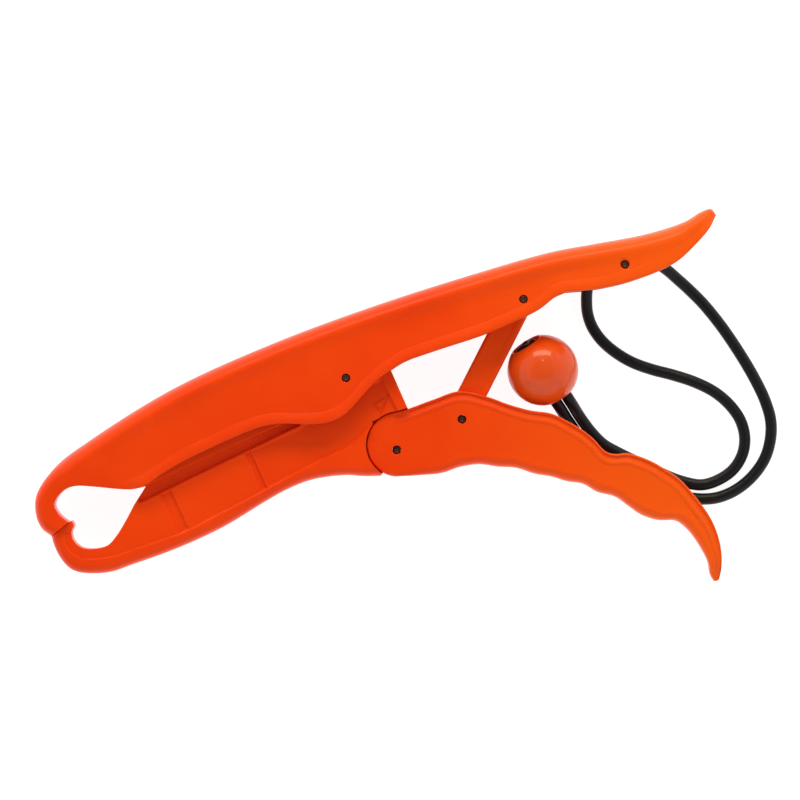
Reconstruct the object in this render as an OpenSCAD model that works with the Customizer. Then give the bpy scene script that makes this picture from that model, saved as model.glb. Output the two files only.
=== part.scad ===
// Locking lip grip: a hooked body, a pivoting lower jaw and a toggle handle, on a wrist lanyard.
// It lies on its side. Z = 0 is the resting face, and the origin is the middle of the footprint.

/* [Body] */
// Thickness of the body across its side walls
body_t = 30; // [29:0.5:31]
// Thickness of each side wall
wall_t = 2.6; // [2.2:0.1:3]
// Thickness of the spine over the channel
spine_t = 2.6; // [2.2:0.1:2.8]

/* [Jaw] */
// Thickness of the lower jaw
jaw_t = 18; // [16:0.5:20]
// Thickness of the jaw's arm between the handle's cheeks
arm_t = 9.2; // [8.6:0.1:9.3]
// Depth of the moulded pockets in each side of the jaw
pocket_depth = 1.6; // [0.8:0.1:3]

/* [Handle] */
// Thickness of the handle across its cheeks
handle_t = 14; // [13.6:0.1:14]
// Thickness of each cheek
cheek_t = 2.2; // [2:0.05:2.2]
// Thickness of the handle's outer rim
rim_t = 2.8; // [2.4:0.1:3.4]

/* [Link] */
// Thickness of the toggle link
link_t = 9.2; // [8.6:0.1:9.3]
// Width of the toggle link
link_w = 10.4; // [9.6:0.1:10.4]
// Play round the lower pin in the link, on the radius
link_play = 0.4; // [0.4:0.05:0.6]

/* [Pins] */
// Diameter of every pin
pin_d = 3.2; // [3:0.05:3.2]
// How far the pins are sunk below the surface
pin_sink = 1.2; // [0.6:0.1:1.6]
// Running clearance round a pin, on the radius
running_gap = 0.05; // [0.03:0.01:0.08]

/* [Lanyard] */
// Diameter of the cord
cord_d = 4.4; // [4.2:0.1:4.4]
// Diameter of the float ball
ball_d = 26.8; // [26:0.1:27]
// Diameter of the ball's bore
ball_bore_d = 9.8; // [9.6:0.1:10]
// Tilt of the ball's bore towards the resting face
ball_tilt = 10; // [9:0.5:11]

/* [Smoothness] */
// Length of one step along a curved outline
curve_step = 4; // [3:0.5:6]

/* [Hidden] */
$fn = 48;
e = 0.1;

orange = [0.9, 0.27, 0.04];
steel = [0.7, 0.7, 0.72];
black = [0.07, 0.07, 0.08];

mid_z = body_t / 2;
pin_r = pin_d / 2;

// Pivot axes, all along Z
jaw_pivot = [-12, 6.5];
handle_pivot = [7, -20.5];
link_low = [31.5, -9];
link_top = [54.5, 36];
cord_anchor = [92.5, 49];

// Outline of the body, clockwise from the front of its hook
body_back = [
    [-122.6, -52.9], [-126.4, -50], [-128.7, -44], [-128.2, -37], [-121, -26.7], [-108, -16.8],
    [-77, 2.4], [-38.5, 19.8], [0, 34], [36, 45.5], [65, 53.8], [81, 56.8], [101, 60.6],
    [115.5, 65.3], [121.5, 68.9], [125, 70], [126.8, 67.6]
];
handle_under = [
    [126.8, 67.6], [124.3, 62.7], [119.2, 56.7], [111.3, 49.6], [96, 43.1], [82, 39.8], [70.5, 38.6]
];
link_seat = [[70.5, 38.6], [66.5, 36.8], [61, 32.5], [55, 29.3]];
channel_edge = [
    [55, 29.3], [40.5, 23], [21, 16.5], [10, 12.5], [4.6, 9.1], [0, 5.9], [-3.3, 2.6], [-6.6, -1.1],
    [-10, -4.9], [-14, -8.2], [-19, -10.2], [-26, -10.9], [-35.3, -10.6], [-42.4, -11.5],
    [-49.6, -13.9], [-55.7, -16.6], [-62.5, -19.7], [-71.1, -23.8], [-79, -28.3], [-88, -34.4]
];
hook_inside = [
    [-88, -34.4], [-93, -35.3], [-107.5, -34.2], [-113.2, -34], [-117.4, -35.3], [-120.4, -38.3],
    [-121.4, -41.2], [-119.8, -44.4], [-116, -47.6]
];
body_outline = concat(
    smooth(body_back), smooth(handle_under), smooth(link_seat), smooth(channel_edge), smooth(hook_inside),
    [[-116, -47.6]]
);

// Plan of the body, from above its back: full thickness, narrowing along the hook
hook_tip_t = 20;
hook_taper_from = -90;
body_plan = [
    [140, 0], [140, body_t], [hook_taper_from, body_t], [-129, (body_t + hook_tip_t) / 2],
    [-140, (body_t + hook_tip_t) / 2], [-140, (body_t - hook_tip_t) / 2],
    [-129, (body_t - hook_tip_t) / 2], [hook_taper_from, 0]
];

// Space inside the body, between its side walls
roof_shift = [1.05, -2.4] * spine_t / 2.6;
channel_front = -88.4;
channel_back = 112;
roof = [for (p = smooth(body_back)) if (p.x > channel_front + 3 && p.x < channel_back) p + roof_shift];
channel_outline = concat(
    [[channel_front, -60], [channel_front, -34], [channel_front + 1.4, -24]], roof,
    [[channel_back, 52], [channel_back, 20], [0, -60]]
);

// Outline of the lower jaw, anticlockwise from its tip
jaw_belly = [
    [-122.4, -53.3], [-121.8, -56], [-119.6, -60.6], [-116, -64.8], [-112, -66.5], [-101.5, -66.5],
    [-92, -63.4], [-75, -57.2], [-58, -49.3], [-43, -40.2], [-34.3, -35.3], [-24.4, -31.5],
    [-12, -29.9], [-5.5, -30.3], [1, -30.2]
];
jaw_rear = [[13.4, -14], [11.3, -5.2], [4.7, 9.8]];
jaw_top = [
    [3, 14], [-8, 15.8], [-19, 12], [-30, 1.5], [-45, -4.5], [-60, -10.5], [-75, -19.5], [-84, -28.4],
    [-87.6, -34.8]
];
jaw_mouth = [
    [-87.6, -34.8], [-91.5, -41.1], [-94.2, -46.2], [-98, -52.5], [-101.5, -56.3], [-106.5, -57.6],
    [-111.2, -57.1], [-114.3, -54.4], [-115, -51.2], [-114, -48.6], [-114.9, -47.3]
];
jaw_outline = concat(
    smooth(jaw_belly), jaw_rear, smooth(jaw_top), smooth(jaw_mouth), [[-114.9, -47.3]]
);

// The jaw's arm, and the space beside it that the handle's cheeks turn in
arm_r = 10;
cheek_gap = 0.5;
fold_steps = [0, -11, -22, -33.5];
arm_clear = [[-3, -8.3], [2, -6.6], [11.2, -4.4], [24, 0], [24, -40], [7, -40]];

// Moulded pockets in the jaw's sides
front_pocket = [[-88.2, -40], [-81.8, -37], [-74.4, -49.8], [-97.8, -59], [-101, -58.2], [-92.4, -46.6]];
middle_pocket = [[-77.8, -36.4], [-50, -22.6], [-43.6, -33.4], [-70.4, -47.4]];
rear_pocket = [[-45.6, -21.2], [-16, -5.6], [-9, -9.5], [-11.5, -17.8], [-39.5, -31.6]];

// Moulding core in the jaw, open towards the body and crossed by ribs
core_t = 7.6;
core_outline = [
    [-82, -16], [-81, -34], [-88, -50], [-86, -56], [-75, -53], [-58, -45], [-43, -36], [-33, -30.5],
    [-25, -26], [-24, 10]
];
core_ribs = [-66, -46];
core_rib_t = 2;

// Outline of the lower handle, clockwise from the front of its cheeks
cheek_centre = [8, -18.5];
cheek_r = 12.2;
cheek_front = [for (a = [245:-15:120]) cheek_centre + cheek_r * [cos(a), sin(a)]];
handle_inside = [
    [4.3, -7.4], [11.2, -5.1], [21, -1.5], [30.8, 1.6], [41.4, -0.6], [48.5, -3.2], [57, -5.6], [65, -6.8],
    [71.1, -9.6], [77.1, -13.2], [81, -16.4], [85.4, -21], [89.3, -22.1], [94.1, -21.8], [102, -24.4],
    [108.2, -27.9], [113, -31.2], [119.6, -38.5], [125.8, -47.8], [128.7, -57], [129, -64.6],
    [128.2, -69]
];
handle_outside = [
    [128.2, -69], [126.8, -70], [124.9, -67.3], [123.9, -62.3], [119.2, -53.9], [115.8, -49.8],
    [112, -47.1], [105.2, -46.8], [99, -44.8], [94, -41.4], [89.1, -38], [82.4, -36.2], [77.1, -33.2],
    [71.1, -32.2], [65, -30.4], [59, -29.4], [52, -27.2], [45, -26.7], [38, -25.8], [31, -26.8],
    [24, -29.1], [15.8, -29.9], [6.8, -30.3], [3.2, -29.7]
];
handle_outline = concat(cheek_front, smooth(handle_inside), smooth(handle_outside));

// Space between the handle's cheeks, open towards the body
rim_shift = [0.25, 0.97] * rim_t;
groove_end = 112;
groove_outline = concat(
    [for (p = smooth(handle_outside)) if (p.x < groove_end && p.x > 12) p + rim_shift],
    [[-10, -26], [-10, 20], [60, 20], [groove_end + 2, 0]]
);

// Toggle link
link_side_shift = 0.9;
link_dir = (link_low - link_top) / norm(link_low - link_top);
link_side = [link_dir.y, -link_dir.x];
link_end_top = link_top + link_side_shift * link_side;
link_end_low = link_low + link_side_shift * link_side;
link_angle = atan2(link_dir.y, link_dir.x);
link_bore_shift = [0.3, 0.05];
link_waist = link_w - 0.6;

// Bosses that carry the pins inside the body
side_gap = 0.3;
jaw_boss_r = 5.6;
link_boss_r = 5;
anchor_boss_r = 4.2;
anchor_gap = 12;

// Float ball, its bore heading down towards the resting face
ball_centre = [62, 9.5, ball_d / 2];
bore_heading = -57;
counterbore_d = 11.6;
counterbore_from = 6.4;
knot_d = 10.8;
knot_from = 6.8;
knot_h = 5.8;

// Route of the cord: out of the knot, through the ball, round the anchor pin and back to the knot
cord_route = [
    [59.6, 17.4, 14.8], [63.9, 10.8, 13.4], [68.2, 4.2, 12], [70.6, 0.5, 11.2], [72.1, -1.8, 10.2],
    [73.5, -3.9, 8.1], [75.1, -6.5, 5.7], [77.2, -9.6, 4.1], [80.5, -13.9, 2.8], [85, -18.4, 2.3],
    [90.6, -21.6, 2.3],
    [98, -25.2, 2.3], [106, -29, 2.3], [114.2, -32.3, 2.3], [122.2, -33.8, 2.3], [128.8, -31.8, 2.3],
    [134.3, -27.8, 2.3], [137.7, -22, 2.3], [138.5, -15.7, 2.3], [136.9, -9.5, 2.3], [133, -3.8, 2.3],
    [127.2, 1.2, 2.3], [119.9, 4.9, 2.3], [111.8, 7.6, 2.3], [103.4, 9.8, 2.3], [96.2, 12.4, 2.3],
    [90, 16, 2.3], [84.6, 20.6, 2.3], [80.8, 26, 2.4], [79.1, 31, 3.1], [78.7, 35.4, 4.3],
    [78.8, 39.2, 5.8], [79.4, 43, 7.8], [82, 48, 11], [86.7, 51.7, 13.8], [92.5, 53, 15],
    [98.5, 52.4, 14], [104, 50.3, 10.8], [108.8, 47.4, 7.2], [113, 43.9, 4.7], [117.8, 39.6, 3.1],
    [122.8, 34.6, 2.4], [129.6, 26.2, 2.3], [136.6, 15.9, 2.3], [142.2, 6.4, 2.3], [146.2, -2, 2.3],
    [148.3, -9.4, 2.3], [148.2, -16.6, 2.3], [146, -24, 2.3], [141.2, -30.8, 2.3], [135, -35.8, 2.3],
    [128.2, -38.6, 2.3], [121, -39.1, 2.3], [113.2, -37.6, 2.3], [105, -34.5, 2.3], [97.2, -30.9, 2.3],
    [89.4, -26.8, 2.3], [82, -21.8, 2.3], [76.6, -16.6, 2.6], [73.4, -12, 3.5], [71.3, -9, 4.9],
    [69.7, -6.4, 7], [68.3, -4.3, 9.4], [66.7, -2, 11.2], [64.4, 1.6, 12], [60.1, 8.2, 13.4],
    [55.8, 14.9, 14.8]
];
cord_sides = 8;

// Points of a smooth curve through p, one about every curve_step, from p's first point up to its last
function mix(a, b, ta, tb, t) = (a * (tb - t) + b * (t - ta)) / (tb - ta);
function on_span(a, b, c, d, u) =
    let (
        t1 = sqrt(norm(b - a)),
        t2 = t1 + sqrt(norm(c - b)),
        t3 = t2 + sqrt(norm(d - c)),
        t = t1 + u * (t2 - t1),
        bc = mix(b, c, t1, t2, t)
    )
    mix(mix(mix(a, b, 0, t1, t), bc, 0, t2, t), mix(bc, mix(c, d, t2, t3, t), t1, t3, t), t1, t2, t);
function smooth(p) =
    let (last = len(p) - 1)
    [
        for (i = [0:last - 1])
            let (
                before = i > 0 ? p[i - 1] : 2 * p[0] - p[1],
                after = i < last - 1 ? p[i + 2] : 2 * p[last] - p[last - 1],
                steps = max(1, round(norm(p[i + 1] - p[i]) / curve_step))
            )
            for (k = [0:steps - 1]) on_span(before, p[i], p[i + 1], after, k / steps)
    ];

// One ring of the cord's tube: a polygon round point i, square to the route there
function unit(v) = v / norm(v);
function heading(i) =
    unit(cord_route[min(i + 1, len(cord_route) - 1)] - cord_route[max(i - 1, 0)]);
function ring(i) =
    let (across = unit(cross(heading(i), [0, 0, 1])), up = cross(across, heading(i)))
    [
        for (k = [0:cord_sides - 1])
            let (a = 360 * (k + 0.5) / cord_sides)
            cord_route[i] + cord_d / 2 * (cos(a) * across + sin(a) * up)
    ];

module at(pivot) {
    translate([pivot.x, pivot.y, 0]) children();
}

// A slab of a 2D shape, centred on the middle of the body's thickness
module slab(thickness) {
    translate([0, 0, mid_z - thickness / 2]) linear_extrude(thickness) children();
}

module bore(pivot, r) {
    at(pivot) translate([0, 0, -e]) cylinder(h = body_t + 2 * e, r = r);
}

// Two bosses on the side walls, with a gap between them
module bosses(pivot, r, gap) {
    boss_h = (body_t - gap) / 2 - wall_t + e;
    for (z = [wall_t - e, body_t - wall_t + e - boss_h]) {
        at(pivot) translate([0, 0, z]) cylinder(h = boss_h, r = r);
    }
}

module pin(pivot, width) {
    color(steel) at(pivot) translate([0, 0, mid_z - width / 2 + pin_sink]) {
        cylinder(h = width - 2 * pin_sink, r = pin_r);
    }
}

module upper_body() {
    color(orange) difference() {
        union() {
            difference() {
                intersection() {
                    linear_extrude(body_t) polygon(body_outline);
                    translate([0, 100, 0]) rotate([90, 0, 0]) linear_extrude(200) polygon(body_plan);
                }
                slab(body_t - 2 * wall_t) polygon(channel_outline);
            }
            bosses(jaw_pivot, jaw_boss_r, jaw_t + 2 * side_gap);
            bosses(link_top, link_boss_r, link_t + 2 * side_gap);
            bosses(cord_anchor, anchor_boss_r, anchor_gap);
        }
        for (p = [jaw_pivot, link_top, cord_anchor]) {
            bore(p, pin_r);
        }
    }
}

module lower_jaw() {
    color(orange) difference() {
        union() {
            difference() {
                slab(jaw_t) polygon(jaw_outline);
                for (a = fold_steps) {
                    at(handle_pivot) rotate(a) bore(cheek_centre - handle_pivot, cheek_r + cheek_gap);
                }
                slab(body_t) polygon(arm_clear);
                for (z = [mid_z - jaw_t / 2 - e, mid_z + jaw_t / 2 - pocket_depth]) {
                    translate([0, 0, z]) linear_extrude(pocket_depth + e) {
                        polygon(front_pocket);
                        polygon(middle_pocket);
                        polygon(rear_pocket);
                    }
                }
                slab(core_t) difference() {
                    polygon(core_outline);
                    for (x = core_ribs) {
                        translate([x, -100]) square([core_rib_t, 100]);
                    }
                }
            }
            slab(arm_t) {
                intersection() {
                    polygon(jaw_outline);
                    translate(handle_pivot) circle(r = cheek_r + 5.7);
                }
                translate(handle_pivot) circle(r = arm_r);
            }
        }
        bore(jaw_pivot, pin_r + running_gap);
        bore(handle_pivot, pin_r + running_gap);
    }
}

module lower_handle() {
    color(orange) difference() {
        slab(handle_t) polygon(handle_outline);
        slab(handle_t - 2 * cheek_t) {
            polygon(groove_outline);
            translate(handle_pivot) circle(r = arm_r + 0.8);
        }
        bore(handle_pivot, pin_r);
        bore(link_low, pin_r);
    }
}

module toggle_link() {
    color(orange) difference() {
        slab(link_t) {
            translate(link_end_top) circle(d = link_w);
            translate(link_end_low) circle(d = link_w);
            translate(link_end_top) rotate(link_angle) translate([0, -link_waist / 2]) {
                square([norm(link_low - link_top), link_waist]);
            }
        }
        bore(link_top, pin_r + running_gap);
        bore(link_low + link_bore_shift, pin_r + link_play);
    }
}

module jaw_pivot_pin() {
    pin(jaw_pivot, body_t);
}

module handle_pivot_pin() {
    pin(handle_pivot, handle_t);
}

module link_lower_pin() {
    pin(link_low, handle_t);
}

module link_upper_pin() {
    pin(link_top, body_t);
}

module lanyard_pin() {
    pin(cord_anchor, body_t);
}

module lanyard_cord() {
    rings = len(cord_route);
    color(black) polyhedron(
        points = [for (i = [0:rings - 1]) each ring(i)],
        faces = concat(
            [[for (k = [0:cord_sides - 1]) k]],
            [[for (k = [cord_sides - 1:-1:0]) (rings - 1) * cord_sides + k]],
            [
                for (i = [0:rings - 2], k = [0:cord_sides - 1])
                    let (n = (k + 1) % cord_sides)
                    [i * cord_sides + k, (i + 1) * cord_sides + k, (i + 1) * cord_sides + n, i * cord_sides + n]
            ]
        )
    );
}

// Places its children at the ball's centre, with +Z along the bore towards the knot
module along_bore() {
    translate(ball_centre) rotate([0, 0, bore_heading]) rotate([0, -90 + ball_tilt, 0]) children();
}

module lanyard_knot() {
    color(black) along_bore() translate([0, 0, knot_from]) cylinder(h = knot_h, d = knot_d);
}

module float_ball() {
    color(orange) along_bore() difference() {
        sphere(d = ball_d, $fn = 96);
        translate([0, 0, -ball_d]) cylinder(h = 2 * ball_d, d = ball_bore_d);
        translate([0, 0, counterbore_from]) cylinder(h = ball_d, d = counterbore_d);
    }
}

upper_body();
lower_jaw();
lower_handle();
toggle_link();
jaw_pivot_pin();
handle_pivot_pin();
link_lower_pin();
link_upper_pin();
lanyard_pin();
lanyard_cord();
lanyard_knot();
float_ball();
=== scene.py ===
import math

import bmesh
import bpy
from bpy.props import FloatProperty, FloatVectorProperty, PointerProperty
from bpy.types import Operator, Panel, PropertyGroup
from mathutils import Matrix, Vector


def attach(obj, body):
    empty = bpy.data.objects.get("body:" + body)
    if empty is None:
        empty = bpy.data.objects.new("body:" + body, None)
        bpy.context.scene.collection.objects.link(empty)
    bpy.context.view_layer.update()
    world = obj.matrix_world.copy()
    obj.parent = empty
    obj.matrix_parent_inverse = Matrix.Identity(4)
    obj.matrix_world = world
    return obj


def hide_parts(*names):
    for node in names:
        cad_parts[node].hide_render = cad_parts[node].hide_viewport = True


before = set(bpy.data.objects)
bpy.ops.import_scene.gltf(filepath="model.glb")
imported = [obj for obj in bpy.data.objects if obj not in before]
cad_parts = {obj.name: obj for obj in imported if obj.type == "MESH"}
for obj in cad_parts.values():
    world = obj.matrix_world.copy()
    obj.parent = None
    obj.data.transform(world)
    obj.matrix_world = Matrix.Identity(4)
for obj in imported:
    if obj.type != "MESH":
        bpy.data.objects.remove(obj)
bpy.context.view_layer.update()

bl_info = {
    "name": "Lip Grip",
    "version": (1, 0, 0),
    "blender": (4, 5, 0),
    "location": "View3D > Sidebar > Lip Grip",
    "description": "Builds a fish lip grip with its jaw, toggle handle, pins and lanyard",
    "category": "Add Mesh",
}

# Shapes are in millimetres until new_object makes them metres. MID is the height of the tool's
# middle plane
MM = 0.001
MID = 15.0

# Pivot axes
JAW_PIVOT = (-12, 6.5)
HANDLE_PIVOT = (7, -20.5)
LINK_LOW = (31.5, -9)
LINK_TOP = (54.5, 36)
ANCHOR = (92.5, 49)
BALL_CENTRE = (62, 9.5, 13.4)

# Slack on a pin's radius where it is pressed in and where it turns, and at the link's lower bore,
# which lies a little off its pin so that the pin stays inside it over the whole fold
PRESSED = 0.02
RUNNING = 0.05
OPEN_PLAY = 0.4
LINK_BORE = (31.8, -8.95)

# How far the handle folds, in degrees, and the middle of its cheeks as seen from its pivot
FOLD = -33.5
CHEEK_CENTRE = (1, 2)

# The body's back and its lower edge, both from the hook's tip to the handle's tip
BODY_BACK = [[
    (-122.6, -52.9), (-126.4, -50), (-128.7, -44), (-128.2, -37), (-121, -26.7), (-108, -16.8),
    (-77, 2.4), (-38.5, 19.8), (0, 34), (36, 45.5), (65, 53.8), (81, 56.8), (101, 60.6),
    (115.5, 65.3), (121.5, 68.9), (125, 70), (126.8, 67.6),
]]
BODY_EDGE = [
    [(-116, -47.6), (-119.8, -44.4), (-121.4, -41.2), (-120.4, -38.3), (-117.4, -35.3),
     (-113.2, -34), (-107.5, -34.2), (-93, -35.3), (-88, -34.4)],
    [(-88, -34.4), (-79, -28.3), (-71.1, -23.8), (-62.5, -19.7), (-55.7, -16.6), (-49.6, -13.9),
     (-42.4, -11.5), (-35.3, -10.6), (-26, -10.9), (-19, -10.2), (-14, -8.2), (-10, -4.9),
     (-6.6, -1.1), (-3.3, 2.6), (0, 5.9), (4.6, 9.1), (10, 12.5), (21, 16.5), (40.5, 23), (55, 29.3)],
    [(55, 29.3), (61, 32.5), (66.5, 36.8), (70.5, 38.6)],
    [(70.5, 38.6), (82, 39.8), (96, 43.1), (111.3, 49.6), (119.2, 56.7), (124.3, 62.7), (126.8, 67.6)],
]
# Which point of the back faces which point of the edge
BODY_FACING = [
    (0, 0), (2, 2), (3, 3), (4, 5), (5, 7), (5.45, 8), (6, 10.45), (7, 15.7), (8, 23.65), (9, 26),
    (9.45, 27), (10, 30), (11, 31), (12, 32.4), (13, 34), (14, 35), (16, 36),
]

# The jaw's belly, and its mouth, top and rear, from the tip backwards
JAW_BELLY = [
    [(-122.6, -53.05), (-121.8, -56), (-119.6, -60.6), (-116, -64.8), (-112, -66.5), (-101.5, -66.5),
     (-92, -63.4), (-75, -57.2), (-58, -49.3), (-43, -40.2), (-34.3, -35.3), (-24.4, -31.5),
     (-12, -29.9), (-5.5, -30.3), (1, -30.2)],
    [(1, -30.2), (13.4, -14)],
]
JAW_TOP = [
    [(-115.1, -47.05), (-114, -48.6), (-115, -51.2), (-114.3, -54.4), (-111.2, -57.1),
     (-106.5, -57.6), (-101.5, -56.3), (-98, -52.5), (-94.2, -46.2), (-91.5, -41.1), (-87.6, -34.8)],
    [(-87.6, -34.8), (-84, -28.4), (-75, -19.5), (-60, -10.5), (-45, -4.5), (-30, 1.5), (-19, 12),
     (-8, 15.8), (3, 14)],
    [(3, 14), (4.7, 9.8)],
    [(4.7, 9.8), (11.3, -5.2)],
]
JAW_FACING = [
    (0, 0), (1, 2), (2, 3), (4, 4.2), (5, 5.6), (6, 6.8), (7, 10), (8, 12), (9, 13), (10, 14),
    (11, 15), (12, 16.6), (14, 18), (14.3, 19), (15, 20),
]

# Moulded panels in the jaw's sides: outline and depth
JAW_PANELS = [
    ([(-88.4, -40.9), (-29.6, -12.2), (-16, -2), (1.4, 6.4), (7.6, -6), (-3.6, -12.6), (-10, -19),
      (-21, -24.2), (-42, -35.7), (-72.7, -51.8), (-90, -57.4), (-98, -60.4), (-105.6, -61.6),
      (-111.3, -61.6), (-115.4, -59.2), (-117.8, -55.6), (-118, -51.4), (-113, -51), (-112.5, -55),
      (-107, -56), (-102, -54.4), (-98.5, -50), (-95.5, -45), (-91, -37.5)], 0.5),
    ([(-82.2, -37.3), (-77.6, -35), (-70.6, -50.2), (-75.2, -52.4)], 1.3),
    ([(-50.4, -21.8), (-47.6, -20.5), (-41.2, -34.7), (-43.8, -36.2)], 1.3),
    ([(-47.6, -20.5), (-29.6, -12.2), (-16, -2), (1.4, 6.4), (7.6, -6), (-3.6, -12.6), (-10, -19),
      (-21, -24.2), (-41.2, -34.7)], 1.0),
    ([(-93, -36), (-29.2, -7.3), (-29.2, -11.3), (-89.4, -40.6)], 2.2),
]

# The small three-cornered groove beside the jaw's pivot
EMBOSS = [(-2.9, -3.4), (4.4, 0.9), (1.2, -7.6)]

# The handle's outer and inner edge, both from the front of its cheeks to its tip
HANDLE_OUTER = [[
    (-4.2, -18.5), (-2.57, -24.6), (1.9, -29.07), (6.8, -30.3), (15.8, -29.9), (24, -29.1),
    (31, -26.8), (38, -25.8), (45, -26.7), (52, -27.2), (59, -29.4), (65, -30.4), (71.1, -32.2),
    (77.1, -33.2), (82.4, -36.2), (89.1, -38), (94, -41.4), (99, -44.8), (105.2, -46.8),
    (112, -47.1), (115.8, -49.8), (119.2, -53.9), (123.9, -62.3), (124.9, -67.3), (126.8, -70),
    (128.2, -69),
]]
HANDLE_INNER = [[
    (-4.2, -18.5), (-2.57, -12.4), (1.9, -7.93), (11.2, -5.1), (21, -1.5), (30.8, 1.6),
    (41.4, -0.6), (48.5, -3.2), (57, -5.6), (65, -6.8), (71.1, -9.6), (77.1, -13.2), (81, -16.4),
    (85.4, -21), (89.3, -22.1), (94.1, -21.8), (102, -24.4), (108.2, -27.9), (113, -31.2),
    (119.6, -38.5), (125.8, -47.8), (128.7, -57), (129, -64.6), (128.2, -69),
]]
HANDLE_FACING = [
    (0, 0), (1, 1), (2, 2), (4, 3.4), (6, 5), (8, 6.6), (10, 8.6), (12, 10.8), (14, 13.3),
    (15, 15), (16, 16), (18, 18), (19, 19), (21, 20.3), (22, 21.5), (23, 22.2), (25, 23),
]

# Route of the lanyard cord, from the knot round the anchor pin and back to the knot; CORD_TOP is
# the number of its point at the pin
CORD_ROUTE = [
    (59.6, 17.4, 14.8), (63.9, 10.8, 13.4), (68.2, 4.2, 12), (70.6, 0.5, 11.2), (72.1, -1.8, 10.2),
    (73.5, -3.9, 8.1), (75.1, -6.5, 5.7), (77.2, -9.6, 4.1), (80.5, -13.9, 2.8), (85, -18.4, 2.3),
    (90.6, -21.6, 2.3), (98, -25.2, 2.3), (106, -29, 2.3), (114.2, -32.3, 2.3),
    (122.2, -33.8, 2.3), (128.8, -31.8, 2.3), (134.3, -27.8, 2.3), (137.7, -22, 2.3),
    (138.5, -15.7, 2.3), (136.9, -9.5, 2.3), (133, -3.8, 2.3), (127.2, 1.2, 2.3), (119.9, 4.9, 2.3),
    (111.8, 7.6, 2.3), (103.4, 9.8, 2.3), (96.2, 12.4, 2.3), (90, 16, 2.3), (84.6, 20.6, 2.3),
    (80.8, 26, 2.4), (79.1, 31, 3.1), (78.7, 35.4, 4.3), (78.8, 39.2, 5.8), (79.4, 43, 7.8),
    (82, 48, 11), (86.7, 51.7, 13.8), (92.5, 53, 15), (98.5, 52.4, 14), (104, 50.3, 10.8),
    (108.8, 47.4, 7.2), (113, 43.9, 4.7), (117.8, 39.6, 3.1), (122.8, 34.6, 2.4),
    (129.6, 26.2, 2.3), (136.6, 15.9, 2.3), (142.2, 6.4, 2.3), (146.2, -2, 2.3), (148.3, -9.4, 2.3),
    (148.2, -16.6, 2.3), (146, -24, 2.3), (141.2, -30.8, 2.3), (135, -35.8, 2.3),
    (128.2, -38.6, 2.3), (121, -39.1, 2.3), (113.2, -37.6, 2.3), (105, -34.5, 2.3),
    (97.2, -30.9, 2.3), (89.4, -26.8, 2.3), (82, -21.8, 2.3), (76.6, -16.6, 2.6), (73.4, -12, 3.5),
    (71.3, -9, 4.9), (69.7, -6.4, 7), (68.3, -4.3, 9.4), (66.7, -2, 11.2), (64.4, 1.6, 12),
    (60.1, 8.2, 13.4), (55.8, 14.9, 14.8),
]
CORD_TOP = 35


class LipGripSettings(PropertyGroup):
    body_t: FloatProperty(
        name="Body Thickness", description="Across the body's side walls", default=0.030, unit="LENGTH")
    jaw_t: FloatProperty(
        name="Jaw Thickness", description="Across the lower jaw", default=0.018, unit="LENGTH")
    arm_t: FloatProperty(
        name="Arm Thickness", description="Across the jaw's arm and the link", default=0.0092,
        unit="LENGTH")
    handle_t: FloatProperty(
        name="Handle Thickness", description="Across the handle's cheeks", default=0.014, unit="LENGTH")
    back_radius: FloatProperty(
        name="Back Radius", description="Rounding of the body's back", default=0.005, unit="LENGTH")
    pin_d: FloatProperty(
        name="Pin Diameter", description="Diameter of every pin", default=0.0032, unit="LENGTH")
    cord_d: FloatProperty(
        name="Cord Diameter", description="Diameter of the lanyard cord", default=0.0044, unit="LENGTH")
    ball_d: FloatProperty(
        name="Ball Diameter", description="Diameter of the float ball", default=0.0268, unit="LENGTH")
    plastic: FloatVectorProperty(
        name="Plastic", description="Colour of the moulded plastic", subtype="COLOR",
        default=(0.90, 0.060, 0.0015))
    plastic_deep: FloatVectorProperty(
        name="Plastic, Deeper", description="Deeper tone of the moulded plastic", subtype="COLOR",
        default=(0.84, 0.048, 0.001))
    # The tail colour is painted light: it stands in for the brighter, yellower light falling on the tail
    # end.
    plastic_painted_tail_light: FloatVectorProperty(
        name="Plastic, Tail End", description="Yellower tone of the plastic towards the tail",
        subtype="COLOR", default=(0.93, 0.108, 0.004))
    ball: FloatVectorProperty(
        name="Ball", description="Colour of the float ball", subtype="COLOR",
        default=(0.80, 0.082, 0.004))
    rubber: FloatVectorProperty(
        name="Cord", description="Colour of the cord", subtype="COLOR", default=(0.005, 0.006, 0.008))
    # The pins' colour is partly their own dark steel and partly painted shade of the recesses they sit
    # in.
    pin_steel_and_shade: FloatVectorProperty(
        name="Pins", description="Colour of the pins", subtype="COLOR", default=(0.14, 0.085, 0.065))


def new_object(name, bm):
    """An object of that name made from bm, scaled from millimetres to metres."""
    mesh = bpy.data.meshes.new(name)
    bmesh.ops.scale(bm, vec=(MM, MM, MM), verts=bm.verts)
    bmesh.ops.recalc_face_normals(bm, faces=bm.faces)
    bm.to_mesh(mesh)
    bm.free()
    piece = bpy.data.objects.new(name, mesh)
    bpy.context.scene.collection.objects.link(piece)
    return piece


def finish_piece(piece, material, body, nodes):
    """Shades the piece, gives it its material and puts it on its body in place of its CAD nodes."""
    mesh = piece.data
    mesh.shade_smooth()
    mesh.set_sharp_from_angle(angle=math.radians(32))
    mesh.materials.clear()
    mesh.materials.append(material)
    weighted = piece.modifiers.new("weighted_normals", "WEIGHTED_NORMAL")
    weighted.keep_sharp = True
    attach(piece, body)
    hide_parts(*nodes)


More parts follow.
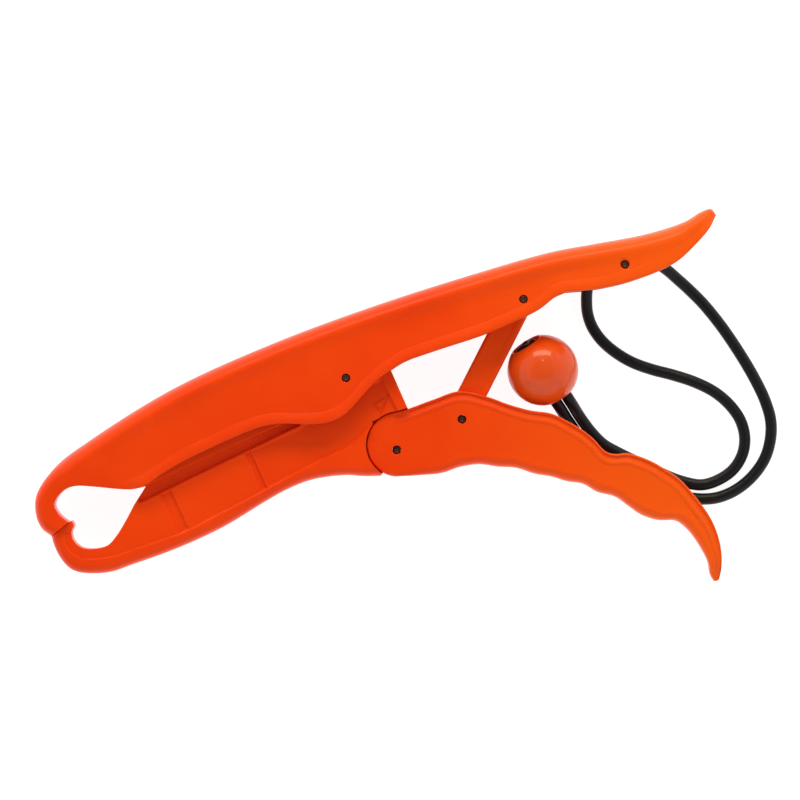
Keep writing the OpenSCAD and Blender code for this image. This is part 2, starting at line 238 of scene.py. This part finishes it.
def carve(piece, tool, operation="DIFFERENCE"):
    """Applies a boolean of tool to piece and removes the tool."""
    cut = piece.modifiers.new("carve", "BOOLEAN")
    cut.object = tool
    cut.operation = operation
    cut.solver = "EXACT"
    depsgraph = bpy.context.evaluated_depsgraph_get()
    result = bpy.data.meshes.new_from_object(piece.evaluated_get(depsgraph))
    piece.modifiers.clear()
    if not result.polygons:
        raise RuntimeError("the cut left nothing of " + piece.name)
    old = piece.data
    piece.data = result
    result.name = piece.name
    bpy.data.meshes.remove(old)
    bpy.data.meshes.remove(tool.data)


def share(x, start, end):
    """How far x has come from start to end, from 0 to 1."""
    return min(1.0, max(0.0, (x - start) / (end - start)))


def curve_point(p, i, t):
    """A point at share t of span i of the smooth curve through p."""
    b, c = p[i], p[i + 1]
    a = p[i - 1] if i else 2 * b - c
    d = p[i + 2] if i + 2 < len(p) else 2 * c - b
    t1 = math.sqrt((b - a).length)
    t2 = t1 + math.sqrt((c - b).length)
    t3 = t2 + math.sqrt((d - c).length)
    u = t1 + t * (t2 - t1)
    ab = a.lerp(b, u / t1)
    bc = b.lerp(c, (u - t1) / (t2 - t1))
    cd = c.lerp(d, (u - t2) / (t3 - t2))
    return ab.lerp(bc, u / t2).lerp(bc.lerp(cd, (u - t1) / (t3 - t1)), (u - t1) / (t2 - t1))


class Path:
    """Smooth runs joined at corners, where place k is the k-th point given."""

    def __init__(self, runs):
        self.spans = []
        for run in runs:
            points = [Vector(p) for p in run]
            self.spans += [(points, i) for i in range(len(points) - 1)]

    def at(self, place):
        i = min(int(place), len(self.spans) - 1)
        return curve_point(*self.spans[i], place - i)

    def between(self, start, end):
        """Length from place start to place end, and fine points on the way."""
        count = max(2, math.ceil(8 * (end - start)))
        fine = [self.at(start + (end - start) * k / count) for k in range(count + 1)]
        length = sum((q - p).length for p, q in zip(fine, fine[1:]))
        return length, fine

    def spread(self, start, end, count):
        """count + 1 points evenly spaced from place start to place end."""
        length, fine = self.between(start, end)
        points, done, k = [fine[0]], 0.0, 0
        for n in range(1, count):
            goal = length * n / count
            while done + (fine[k + 1] - fine[k]).length < goal:
                done += (fine[k + 1] - fine[k]).length
                k += 1
            points.append(fine[k].lerp(fine[k + 1], (goal - done) / (fine[k + 1] - fine[k]).length))
        return points + [fine[-1]]


def stations(runs_a, runs_b, facing, step):
    """Pairs of facing points along two edges."""
    a, b = Path(runs_a), Path(runs_b)
    pairs = []
    for (a0, b0), (a1, b1) in zip(facing, facing[1:]):
        longest = max(a.between(a0, a1)[0], b.between(b0, b1)[0])
        count = max(1, round(longest / step))
        pairs += list(zip(a.spread(a0, a1, count), b.spread(b0, b1, count)))[:-1]
    return pairs + [(a.at(facing[-1][0]), b.at(facing[-1][1]))]


def section(a, b, half, round_a, round_b, side, weight):
    """One closed section of a moulding, from edge a to edge b, with corners rounded by (along, across)
    and a fine parting line at edge a. side lists (edge, distance from it, depth) of the lines moulded
    along the side, or ("m", share of the space between those near a and near b, depth)."""
    width = (b - a).length
    along = (b - a) / width if width > 1e-6 else Vector((0, 0))
    reach_a = max([round_a[0]] + [d for e, d, z in side if e == "a"])
    reach_b = max([round_b[0]] + [d for e, d, z in side if e == "b"])
    fit = min(1.0, 0.94 * width / (reach_a + reach_b))
    inner_a, inner_b = reach_a * fit, width - reach_b * fit
    place = {
        "a": lambda d: d * fit,
        "b": lambda d: width - d * fit,
        "m": lambda d: inner_a + d * (inner_b - inner_a),
    }
    parting_line = [(-0.12, 0.16), (0, 0.42)]
    corner_a, corner_b = [], []
    for k in range(10):
        t = math.radians(10 * k)
        u = round_a[0] * fit * (1 - math.cos(t))
        corner_a.append((u, half - round_a[1] * fit * (1 - math.sin(t))))
    for k in range(7):
        t = math.radians(15 * k)
        u = width - round_b[0] * fit * (1 - math.sin(t))
        corner_b.append((u, half - round_b[1] * fit * (1 - math.cos(t))))
    lines = [(place[e](d), half - depth * weight * fit) for e, d, depth in side]
    top = parting_line + corner_a + lines + corner_b
    ring = top + [(u, -z) for u, z in reversed(top)]
    return [Vector((*(a + along * u), MID + z)) for u, z in ring + ring[:1]]


def loft(sections):
    """A closed skin over the sections, from a grid whose vertices are moved onto them."""
    rows, columns = len(sections) - 1, len(sections[0]) - 1
    bm = bmesh.new()
    bmesh.ops.create_grid(bm, x_segments=rows, y_segments=columns, size=1)
    for v in bm.verts:
        v.co = sections[round((v.co.x + 1) / 2 * rows)][round((v.co.y + 1) / 2 * columns)]
    bmesh.ops.remove_doubles(bm, verts=bm.verts, dist=1e-4)
    bmesh.ops.dissolve_degenerate(bm, edges=bm.edges, dist=1e-4)
    bmesh.ops.holes_fill(bm, edges=[e for e in bm.edges if e.is_boundary], sides=0)
    return bm


def prism(name, outline, low, high, draft=0.0, slope=0.0):
    """A slab of the outline from z = low to high; with a draft its end goes slope further, drawn in."""
    bm = bmesh.new()
    face = bm.faces.new([bm.verts.new((x, y, low)) for x, y in outline])
    made = bmesh.ops.extrude_face_region(bm, geom=[face])["geom"]
    bmesh.ops.translate(
        bm, vec=(0, 0, high - low), verts=[g for g in made if isinstance(g, bmesh.types.BMVert)])
    if draft:
        bmesh.ops.recalc_face_normals(bm, faces=bm.faces)
        end = [g for g in made if isinstance(g, bmesh.types.BMFace)]
        bmesh.ops.inset_region(bm, faces=end, thickness=draft, depth=slope, use_even_offset=True)
    return new_object(name, bm)


def turned(profile, steps=48, spot=(0, 0, 0), turn=None):
    """A turned shape: the profile of (radius, height) spun round Z, then turned and put at spot."""
    bm = bmesh.new()
    chain = [bm.verts.new((r, 0, z)) for r, z in profile]
    edges = [bm.edges.new(pair) for pair in zip(chain, chain[1:])]
    bmesh.ops.spin(
        bm, geom=chain + edges, cent=(0, 0, 0), axis=(0, 0, 1), angle=2 * math.pi, steps=steps,
        use_merge=True)
    bmesh.ops.remove_doubles(bm, verts=bm.verts, dist=1e-4)
    if turn:
        bmesh.ops.rotate(bm, cent=(0, 0, 0), matrix=turn, verts=bm.verts)
    bmesh.ops.translate(bm, vec=spot, verts=bm.verts)
    return bm


def joined(name, parts):
    """One object from several bmeshes."""
    whole = bmesh.new()
    for part in parts:
        mesh = bpy.data.meshes.new("part")
        part.to_mesh(mesh)
        part.free()
        whole.from_mesh(mesh)
        bpy.data.meshes.remove(mesh)
    return new_object(name, whole)


def bore_tool(places, width, radius, mouth=0.9):
    """Through bores with chamfered mouths at the places, for a part that is width thick."""
    low, high = MID - width / 2, MID + width / 2
    flare = radius + mouth + 1
    profile = [
        (0, low - 1), (flare, low - 1), (radius, low + mouth), (radius, high - mouth),
        (flare, high + 1), (0, high + 1),
    ]
    return joined("bore_tool", [turned(profile, 48, (x, y, 0)) for x, y in places])


def link_nodes(tree, pairs):
    for out, into in pairs:
        tree.links.new(out, into)


def set_inputs(node, values):
    for name, value in values.items():
        node.inputs[name].default_value = value


def mould_marks():
    """Node group of a soft tone over the surface, the grain of the mould and scuffs."""
    found = bpy.data.node_groups.get("mould_marks")
    if found:
        return found
    group = bpy.data.node_groups.new("mould_marks", "ShaderNodeTree")
    for name in ("Cloud Scale", "Grain Scale", "Scuff Scale"):
        group.interface.new_socket(name, in_out="INPUT", socket_type="NodeSocketFloat")
    group.interface.new_socket("Vector", in_out="INPUT", socket_type="NodeSocketVector")
    for name in ("Tone", "Grain", "Scuffs"):
        group.interface.new_socket(name, in_out="OUTPUT", socket_type="NodeSocketFloat")
    n = group.nodes
    entry, end = n.new("NodeGroupInput"), n.new("NodeGroupOutput")
    cloud, grain, scuff = (n.new("ShaderNodeTexNoise") for _ in range(3))
    tone, marks = (n.new("ShaderNodeMapRange") for _ in range(2))
    set_inputs(cloud, {"Detail": 3})
    set_inputs(grain, {"Detail": 4})
    set_inputs(scuff, {"Detail": 6, "Distortion": 0.8})
    set_inputs(tone, {"From Min": 0.32, "From Max": 0.68})
    set_inputs(marks, {"From Min": 0.58, "From Max": 0.74})
    link_nodes(group, [
        (entry.outputs["Vector"], cloud.inputs["Vector"]),
        (entry.outputs["Vector"], grain.inputs["Vector"]),
        (entry.outputs["Vector"], scuff.inputs["Vector"]),
        (entry.outputs["Cloud Scale"], cloud.inputs["Scale"]),
        (entry.outputs["Grain Scale"], grain.inputs["Scale"]),
        (entry.outputs["Scuff Scale"], scuff.inputs["Scale"]),
        (cloud.outputs["Fac"], tone.inputs["Value"]),
        (scuff.outputs["Fac"], marks.inputs["Value"]),
        (tone.outputs["Result"], end.inputs["Tone"]),
        (grain.outputs["Fac"], end.inputs["Grain"]),
        (marks.outputs["Result"], end.inputs["Scuffs"]),
    ])
    return group


def surface(name, colour, deep, tail, cloud, grain, scuff, rough, rough_worn, bump, edge):
    """A material of that name on the mould_marks group, going over to the tail colour along X, painted
    light for the brighter, yellower light on the tail end; returns it with its shader."""
    material = bpy.data.materials.get(name)
    if material:
        return material, material.node_tree.nodes["Principled BSDF"]
    material = bpy.data.materials.new(name)
    material.use_nodes = True
    tree = material.node_tree
    n = tree.nodes
    shader = n["Principled BSDF"]
    coords = n.new("ShaderNodeTexCoord")
    marks = n.new("ShaderNodeGroup")
    marks.node_tree = mould_marks()
    set_inputs(marks, {"Cloud Scale": cloud, "Grain Scale": grain, "Scuff Scale": scuff})
    mix = n.new("ShaderNodeMix")
    mix.data_type = "RGBA"
    set_inputs(mix, {"A": (*colour, 1), "B": (*deep, 1)})
    split = n.new("ShaderNodeSeparateXYZ")
    along = n.new("ShaderNodeMapRange")
    along.interpolation_type = "SMOOTHSTEP"
    set_inputs(along, {"From Min": 0.0, "From Max": 0.13})
    # Painted light: the base colour turns brighter and yellower along X, for the stronger light on the
    # tail end.
    tail_light_fade = n.new("ShaderNodeMix")
    tail_light_fade.data_type = "RGBA"
    set_inputs(tail_light_fade, {"B": (*tail, 1)})
    gloss = n.new("ShaderNodeMapRange")
    set_inputs(gloss, {"To Min": rough, "To Max": rough_worn})
    height = n.new("ShaderNodeBump")
    set_inputs(height, {"Strength": bump, "Distance": 0.0002})
    soften = n.new("ShaderNodeBevel")
    soften.samples = 6
    set_inputs(soften, {"Radius": edge})
    link_nodes(tree, [
        (coords.outputs["Object"], marks.inputs["Vector"]),
        (marks.outputs["Tone"], mix.inputs["Factor"]),
        (coords.outputs["Object"], split.inputs["Vector"]),
        (split.outputs["X"], along.inputs["Value"]),
        (along.outputs["Result"], tail_light_fade.inputs["Factor"]),
        (mix.outputs["Result"], tail_light_fade.inputs["A"]),
        (tail_light_fade.outputs["Result"], shader.inputs["Base Color"]),
        (marks.outputs["Scuffs"], gloss.inputs["Value"]),
        (gloss.outputs["Result"], shader.inputs["Roughness"]),
        (marks.outputs["Grain"], height.inputs["Height"]),
        (soften.outputs["Normal"], height.inputs["Normal"]),
        (height.outputs["Normal"], shader.inputs["Normal"]),
    ])
    return material, shader


def plastic_material(s):
    material, shader = surface(
        "moulded_orange", s.plastic, s.plastic_deep, s.plastic_painted_tail_light, cloud=38, grain=1400, scuff=240,
        rough=0.28, rough_worn=0.33, bump=0.08, edge=0.0004)
    set_inputs(shader, {
        "Specular IOR Level": 0.16,
        "Subsurface Weight": 0.08,
        "Subsurface Radius": (1.0, 0.25, 0.05),
        "Subsurface Scale": 0.002,
        "IOR": 1.47,
    })
    return material


def ball_material(s):
    deep = [c * 0.86 for c in s.ball]
    material, shader = surface(
        "polished_ball", s.ball, deep, s.ball, cloud=95, grain=900, scuff=260,
        rough=0.36, rough_worn=0.44, bump=0.05, edge=0.0004)
    set_inputs(shader, {
        "Specular IOR Level": 0.2,
        "Coat Weight": 0.6,
        "Coat Roughness": 0.06,
        "Coat IOR": 1.35,
        "Subsurface Weight": 0.25,
        "Subsurface Radius": (1.0, 0.3, 0.08),
        "Subsurface Scale": 0.004,
    })
    return material


def cord_material(s):
    worn = [c * 2.2 for c in s.rubber]
    material, shader = surface(
        "matte_rubber", s.rubber, worn, s.rubber, cloud=220, grain=2600, scuff=420,
        rough=0.38, rough_worn=0.55, bump=0.25, edge=0.0002)
    set_inputs(shader, {"Specular IOR Level": 0.22})
    return material


# Pin metal whose dark base colour is partly steel and partly painted shade of the pins' recesses.
def steel_material(s):
    dark = [c * 0.45 for c in s.pin_steel_and_shade]
    material, shader = surface(
        "drawn_steel_and_shade", s.pin_steel_and_shade, dark, s.pin_steel_and_shade, cloud=700, grain=3200, scuff=1500,
        rough=0.34, rough_worn=0.55, bump=0.30, edge=0.0002)
    set_inputs(shader, {"Metallic": 1.0})
    return material


class LIPGRIP_OT_stage(Operator):
    """Adds the camera, the lights and the pale floor"""
    bl_idname = "lipgrip.stage"
    bl_label = "Stage"

    def add_camera(self, scene):
        sensor, distance, view_width = 36, 2.975, 0.300
        camera = bpy.data.objects.new("camera", bpy.data.cameras.new("camera"))
        camera.location = (0.00825, -0.00175, 3.0)
        camera.data.sensor_width = sensor
        camera.data.lens = sensor * distance / view_width
        scene.collection.objects.link(camera)
        scene.camera = camera

    def add_floor(self):
        bm = bmesh.new()
        bmesh.ops.create_grid(bm, x_segments=1, y_segments=1, size=4000)
        bmesh.ops.translate(bm, vec=(0, 0, -0.15), verts=bm.verts)
        floor = new_object("floor", bm)
        material = bpy.data.materials.new("floor_white")
        material.use_nodes = True
        set_inputs(material.node_tree.nodes["Principled BSDF"], {
            "Base Color": (0.35, 0.35, 0.35, 1),
            "Roughness": 0.9,
            "Specular IOR Level": 0.1,
            "Emission Color": (1, 1, 1, 1),
            "Emission Strength": 0.92,
        })
        floor.data.materials.append(material)

    def add_lights(self, scene):
        white, warm = (1, 1, 1), (1.0, 0.85, 0.60)
        middle, ball = (0, 0, 0), (0.06, 0.01, 0)
        for name, spot, size, power, colour, aim in (
            ("back_light", (0.0, 1.05, 0.66), (1.1, 0.35), 11.0, warm, (0, 0.02, 0)),
            ("front_light", (0.1, -1.05, 0.80), (2.4, 1.1), 6.0, white, middle),
            ("left_light", (-1.15, 0.20, 0.80), (2.2, 1.1), 4.2, white, middle),
            ("right_light", (1.15, 0.20, 0.80), (2.2, 1.1), 4.2, white, middle),
            ("high_spark", (0.05, 0.75, 1.30), (0.05, 0.05), 0.20, white, ball),
            ("low_spark", (0.16, 0.50, 1.30), (0.04, 0.04), 0.15, white, ball),
        ):
            light = bpy.data.lights.new(name, "AREA")
            light.shape = "RECTANGLE"
            light.size, light.size_y = size
            light.energy = power
            light.color = colour
            lamp = bpy.data.objects.new(name, light)
            lamp.location = spot
            lamp.rotation_euler = (Vector(aim) - Vector(spot)).to_track_quat("-Z", "Y").to_euler()
            scene.collection.objects.link(lamp)

    def add_world(self, scene):
        """A pale world, bright at the horizon and dimmer overhead."""
        world = bpy.data.worlds.new("studio")
        world.use_nodes = True
        n = world.node_tree.nodes
        sky = n.new("ShaderNodeTexCoord")
        split = n.new("ShaderNodeSeparateXYZ")
        dim = n.new("ShaderNodeMapRange")
        set_inputs(n["Background"], {"Color": (1, 1, 1, 1)})
        set_inputs(dim, {"From Min": 0.15, "From Max": 0.45, "To Min": 0.9, "To Max": 0.28})
        link_nodes(world.node_tree, [
            (sky.outputs["Generated"], split.inputs["Vector"]),
            (split.outputs["Z"], dim.inputs["Value"]),
            (dim.outputs["Result"], n["Background"].inputs["Strength"]),
        ])
        scene.world = world

    def execute(self, context):
        self.add_camera(context.scene)
        self.add_floor()
        self.add_lights(context.scene)
        self.add_world(context.scene)
        context.scene.view_settings.view_transform = "Standard"
        return {"FINISHED"}


class LIPGRIP_OT_lanyard(Operator):
    """Adds the cord's two runs, their knot and the float ball"""
    bl_idname = "lipgrip.lanyard"
    bl_label = "Lanyard"

    def cord_run(self, name, route, settings):
        """One run of the cord along the smooth curve through the route, and its length."""
        points = [Vector(p) for p in route]
        fine, spacing = [points[0]], 1.2
        for i in range(len(points) - 1):
            steps = max(2, round((points[i + 1] - points[i]).length / spacing))
            fine += [curve_point(points, i, k / steps) for k in range(1, steps + 1)]
        data = bpy.data.curves.new(name, "CURVE")
        data.dimensions = "3D"
        data.bevel_depth = settings.cord_d / 2
        data.bevel_resolution = 6
        data.use_fill_caps = True
        line = data.splines.new("POLY")
        line.points.add(len(fine) - 1)
        for spot, p in zip(line.points, fine):
            spot.co = (*(p * MM), 1)
        run = bpy.data.objects.new(name, data)
        bpy.context.scene.collection.objects.link(run)
        data.materials.append(cord_material(settings))
        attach(run, "lanyard")
        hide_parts("lanyard_cord")
        length = sum((q - p).length for p, q in zip(fine, fine[1:])) * MM
        return run, length

    def float_ball(self, settings, heading):
        """The ball, with a bore that widens at its upper end and rounded mouths."""
        r, bore, mouth, step_height = settings.ball_d / MM / 2, 4.9, 5.8, 6.4
        bore_rim, mouth_rim = 5.4, 6.3
        low, high = -math.sqrt(r * r - bore_rim ** 2), math.sqrt(r * r - mouth_rim ** 2)
        start, end = math.asin(low / r), math.asin(high / r)
        rim = [
            (r * math.cos(start + (end - start) * k / 40), r * math.sin(start + (end - start) * k / 40))
            for k in range(41)
        ]
        profile = [
            (bore, low + 0.9), (bore + 0.15, low + 0.3), *rim, (mouth + 0.1, high - 0.1),
            (mouth, high - 0.7), (mouth, step_height), (bore, step_height), (bore, low + 0.9),
        ]
        ball = new_object("float_ball_shell", turned(profile, 96, BALL_CENTRE, heading))
        finish_piece(ball, ball_material(settings), "lanyard", ["float_ball"])
        return ball

    def tied_knot(self, settings, heading):
        """An overhand knot drawn tight, which fills the wide end of the ball's bore."""
        size, rise, height, strand_r = 1.12, 1.0, 9.7, 1.9
        count, around = 120, 16
        strand = []
        for k in range(count):
            t = 2 * math.pi * k / count
            strand.append(Vector((
                size * (math.sin(t) + 2 * math.sin(2 * t)),
                size * (math.cos(t) - 2 * math.cos(2 * t)),
                height - rise * math.sin(3 * t))))
        bm = bmesh.new()
        bmesh.ops.create_grid(bm, x_segments=count, y_segments=around, size=1)
        for v in bm.verts:
            i = round((v.co.x + 1) / 2 * count) % count
            turn = 2 * math.pi * round((v.co.y + 1) / 2 * around) / around
            ahead = (strand[(i + 1) % count] - strand[i - 1]).normalized()
            across = ahead.cross(Vector((0, 0, 1))).normalized()
            v.co = strand[i] + strand_r * (math.cos(turn) * across + math.sin(turn) * ahead.cross(across))
        bmesh.ops.remove_doubles(bm, verts=bm.verts, dist=1e-4)
        bmesh.ops.rotate(bm, cent=(0, 0, 0), matrix=heading, verts=bm.verts)
        bmesh.ops.translate(bm, vec=BALL_CENTRE, verts=bm.verts)
        knot = new_object("cord_knot", bm)
        finish_piece(knot, cord_material(settings), "lanyard", ["lanyard_knot"])
        return knot

    def execute(self, context):
        s = context.scene.lip_grip
        inner, inner_length = self.cord_run("cord_inner", CORD_ROUTE[CORD_TOP::-1], s)
        outer, outer_length = self.cord_run("cord_outer", CORD_ROUTE[CORD_TOP:], s)
        turn, tilt = math.radians(-57), math.radians(-80)
        heading = Matrix.Rotation(turn, 3, "Z") @ Matrix.Rotation(tilt, 3, "Y")
        ball = self.float_ball(s, heading)
        knot = self.tied_knot(s, heading)
        return {"FINISHED"}


class LIPGRIP_OT_body(Operator):
    """Adds the hooked upper body with its channel, bosses and bores"""
    bl_idname = "lipgrip.body"
    bl_label = "Upper Body"

    def execute(self, context):
        s = context.scene.lip_grip
        half, radius, pin_r = s.body_t / MM / 2, s.back_radius / MM, s.pin_d / MM / 2
        hook_taper, tail_taper, wall = 5, 5, 2.6
        side = [
            ("a", 5.8, 0.18), ("a", 7.2, 0.55), ("m", 0.12, 0.95), ("m", 0.35, 1.15), ("m", 0.65, 1.0),
            ("m", 1, 0.75), ("b", 4.2, 0.62), ("b", 3.3, 0.35), ("b", 2.4, 0.05), ("b", 1.6, 0),
        ]
        sections = []
        for a, b in stations(BODY_BACK, BODY_EDGE, BODY_FACING, step=1.2):
            taper = share(min(a.x, b.x), -90, -129) * hook_taper + share(a.x, 117, 127) ** 2 * tail_taper
            weight = share(a.x, -112, -92) * max(0.15, share(a.x, 112, 52))
            sections.append(section(a, b, half - taper, (radius, 1.7 * radius), (0.9, 1.2), side, weight))
        body = new_object("body_moulding", loft(sections))

        back, back_wall = Path(BODY_BACK), Vector((1.05, -2.4))
        roof = [back.at(5 + k * 0.2) + back_wall for k in range(40)]
        roof = [p for p in roof if -85.4 < p.x < 112]
        channel = [(-88.4, -60), (-88.4, -34), (-87, -24), *roof, (112, 52), (112, 20), (0, -60)]
        carve(body, prism("channel", channel, wall, 2 * MID - wall))
        bosses = []
        for (x, y), r, gap in ((JAW_PIVOT, 5.6, 18.6), (LINK_TOP, 5, 9.8), (ANCHOR, 4.2, 12)):
            for away in (-1, 1):
                near, far = MID + away * gap / 2, MID + away * (MID - wall + 0.2)
                bosses.append(turned([(0, near), (r, near), (r, far), (0, far)], 48, (x, y, 0)))
        carve(body, joined("bosses", bosses), "UNION")
        carve(body, bore_tool((JAW_PIVOT, LINK_TOP, ANCHOR), 2 * half, pin_r + PRESSED))
        finish_piece(body, plastic_material(s), "upper_body", ["upper_body"])
        return {"FINISHED"}


class LIPGRIP_OT_jaw(Operator):
    """Adds the lower jaw with its moulded panels and its arm"""
    bl_idname = "lipgrip.jaw"
    bl_label = "Lower Jaw"

    def execute(self, context):
        s = context.scene.lip_grip
        half, arm, pin_r = s.jaw_t / MM / 2, s.arm_t / MM / 2, s.pin_d / MM / 2
        core_half, draft, lip, cheek_r = 3.8, 0.75, 0.08, 12.5
        pairs = stations(JAW_BELLY, JAW_TOP, JAW_FACING, step=1.2)
        sections = [section(a, b, half, (3.2, 4.5), (0.8, 0.8), [], 1) for a, b in pairs]
        jaw = new_object("jaw_moulding", loft(sections))
        for outline, depth in JAW_PANELS:
            for away in (-1, 1):
                low, high = MID + away * (half + 1), MID + away * (half - lip)
                carve(jaw, prism("panel", outline, low, high, draft, depth - lip))
        core = [
            (-82, -16), (-81, -34), (-88, -50), (-86, -56), (-75, -53), (-58, -45), (-43, -36),
            (-33, -30.5), (-25, -26), (-24, 10),
        ]
        carve(jaw, prism("core", core, MID - core_half, MID + core_half))

        pivot = Vector(HANDLE_PIVOT)
        clear = [(-2.2, -9.9), (4.3, -6.9), (11.2, -4.6), (24, 0), (24, -40), (7, -40)]
        for low, high in ((MID + arm, 2 * MID + 1), (-1, MID - arm)):
            carve(jaw, prism("beside_arm", clear, low, high))
            for fold in (0, FOLD):
                cheek = Matrix.Rotation(math.radians(fold), 2) @ Vector(CHEEK_CENTRE) + pivot
                disc = [(0, low), (cheek_r, low), (cheek_r, high), (0, high)]
                carve(jaw, new_object("cheek_space", turned(disc, 72, (*cheek, 0))))

        corners = [Vector(p) for p in EMBOSS]
        middle = sum(corners, Vector((0, 0))) / 3
        island = [middle + 0.5 * (p - middle) for p in corners]
        for away in (-1, 1):
            groove = prism("emboss", EMBOSS, MID + away * (half - 0.5), MID + away * (half - 1.4))
            carve(groove, prism("island", island, MID + away * half, MID + away * (half - 2)))
            carve(jaw, groove)

        low, high, eye_r, soft = MID - arm, MID + arm, 10, 0.4
        rim = [
            (0, low), (eye_r - soft, low), (eye_r, low + soft), (eye_r, high - soft),
            (eye_r - soft, high), (0, high),
        ]
        carve(jaw, new_object("eye", turned(rim, 64, (*pivot, 0))), "UNION")
        carve(jaw, bore_tool((JAW_PIVOT, HANDLE_PIVOT), 2 * half, pin_r + RUNNING, mouth=0.2))
        finish_piece(jaw, plastic_material(s), "lower_jaw", ["lower_jaw"])
        return {"FINISHED"}


class LIPGRIP_OT_handle(Operator):
    """Adds the scalloped lower handle, hollow towards the body"""
    bl_idname = "lipgrip.handle"
    bl_label = "Lower Handle"

    def execute(self, context):
        s = context.scene.lip_grip
        half, pin_r = s.handle_t / MM / 2, s.pin_d / MM / 2
        tip_taper, wall, eye_r = 2.5, 2.2, 10.8
        side = [
            ("a", 3.9, 0.05), ("a", 5.2, 0.25), ("m", 0.5, 0.4), ("m", 1, 0.3), ("b", 4.3, 0.2),
            ("b", 3.5, 0), ("b", 3.0, 0.05), ("b", 2.3, 0.55), ("b", 0.9, 0.75),
        ]
        sections = []
        for a, b in stations(HANDLE_OUTER, HANDLE_INNER, HANDLE_FACING, step=1.1):
            taper = share(a.y, -61, -70) ** 2 * tip_taper
            weight = share(a.x, 2, 14)
            radius = 1.0 + 2.2 * share(a.x, 6, 26)
            sections.append(section(a, b, half - taper, (radius, 1.3 * radius), (0.6, 0.6), side, weight))
        handle = new_object("handle_moulding", loft(sections))

        outer, back_web = Path(HANDLE_OUTER), Vector((0.7, 2.716))
        rim = [outer.at(2 + k * 0.25) + back_web for k in range(76)]
        rim = [p for p in rim if 12 < p.x < 112]
        groove = [*rim, (114, 0), (60, 20), (-10, 20), (-10, -26)]
        low, high = MID - (half - wall), MID + (half - wall)
        carve(handle, prism("groove", groove, low, high))
        disc = [(0, low), (eye_r, low), (eye_r, high), (0, high)]
        carve(handle, new_object("round_eye", turned(disc, 64, (*HANDLE_PIVOT, 0))))
        carve(handle, bore_tool((HANDLE_PIVOT, LINK_LOW), 2 * half, pin_r + PRESSED, mouth=0.5))
        finish_piece(handle, plastic_material(s), "lower_handle", ["lower_handle"])
        return {"FINISHED"}


class LIPGRIP_OT_link(Operator):
    """Adds the toggle link between the body and the handle"""
    bl_idname = "lipgrip.link"
    bl_label = "Toggle Link"

    def execute(self, context):
        s = context.scene.lip_grip
        half, reach, pin_r = s.arm_t / MM / 2, 5.2, s.pin_d / MM / 2
        side = [("a", 2.4, 0), ("a", 2.9, 0.25), ("b", 2.9, 0.25), ("b", 2.4, 0)]
        low, top = Vector(LINK_LOW), Vector(LINK_TOP)
        ahead = (low - top).normalized()
        aside = Vector((ahead.y, -ahead.x))
        sections = []
        for end, start in ((top, 180), (low, 90)):
            for k in range(19):
                t = math.radians(start - 5 * k)
                middle = end + 0.9 * aside + ahead * reach * math.cos(t)
                a, b = (middle + aside * reach * math.sin(t) * way for way in (1, -1))
                weight = ((b - a).length / (2 * reach)) ** 4
                sections.append(section(a, b, half, (1.1, 1.1), (1.1, 1.1), side, min(1.0, weight)))
        link = new_object("link_moulding", loft(sections))
        carve(link, bore_tool((LINK_TOP,), 2 * half, pin_r + RUNNING, mouth=0.2))
        carve(link, bore_tool((LINK_BORE,), 2 * half, pin_r + OPEN_PLAY, mouth=0.2))
        finish_piece(link, plastic_material(s), "toggle_link", ["toggle_link"])
        return {"FINISHED"}


class LIPGRIP_OT_pins(Operator):
    """Adds the five pins, with chamfered and dimpled ends"""
    bl_idname = "lipgrip.pins"
    bl_label = "Pins"

    def execute(self, context):
        s = context.scene.lip_grip
        r, inset = s.pin_d / MM / 2 - 0.01, 1.2
        body_half, handle_half = s.body_t / MM / 2, s.handle_t / MM / 2
        for node, body, (x, y), half in (
            ("jaw_pivot_pin", "upper_body", JAW_PIVOT, body_half),
            ("handle_pivot_pin", "lower_handle", HANDLE_PIVOT, handle_half),
            ("link_lower_pin", "lower_handle", LINK_LOW, handle_half),
            ("link_upper_pin", "upper_body", LINK_TOP, body_half),
            ("lanyard_pin", "upper_body", ANCHOR, body_half),
        ):
            end = half - inset
            profile = [(0, end - 0.35), (0.45, end - 0.3), (0.7, end - 0.02), (1.1, end), (r, end - 0.45)]
            profile += [(q, -z) for q, z in reversed(profile)]
            pin = new_object(node + "_turned", turned(profile, 40, (x, y, MID)))
            finish_piece(pin, steel_material(s), body, [node])
        return {"FINISHED"}


class LIPGRIP_PT_panel(Panel):
    """Lists the lip grip's pieces"""
    bl_label = "Lip Grip"
    bl_idname = "LIPGRIP_PT_panel"
    bl_space_type = "VIEW_3D"
    bl_region_type = "UI"
    bl_category = "Lip Grip"

    def draw(self, context):
        s = context.scene.lip_grip
        for name in s.bl_rna.properties.keys():
            if name not in ("rna_type", "name"):
                self.layout.prop(s, name)
        for operator in OPERATORS:
            self.layout.operator(operator.bl_idname)


OPERATORS = (
    LIPGRIP_OT_stage, LIPGRIP_OT_lanyard, LIPGRIP_OT_body, LIPGRIP_OT_jaw, LIPGRIP_OT_handle,
    LIPGRIP_OT_link, LIPGRIP_OT_pins,
)
CLASSES = (LipGripSettings, *OPERATORS, LIPGRIP_PT_panel)


def register():
    for cls in CLASSES:
        bpy.utils.register_class(cls)
    bpy.types.Scene.lip_grip = PointerProperty(type=LipGripSettings)


def unregister():
    del bpy.types.Scene.lip_grip
    for cls in reversed(CLASSES):
        bpy.utils.unregister_class(cls)


def main():
    register()
    bpy.ops.lipgrip.stage()
    bpy.ops.lipgrip.lanyard()
    bpy.ops.lipgrip.body()
    bpy.ops.lipgrip.jaw()
    bpy.ops.lipgrip.handle()
    bpy.ops.lipgrip.link()
    bpy.ops.lipgrip.pins()


if __name__ == "__main__":
    main()
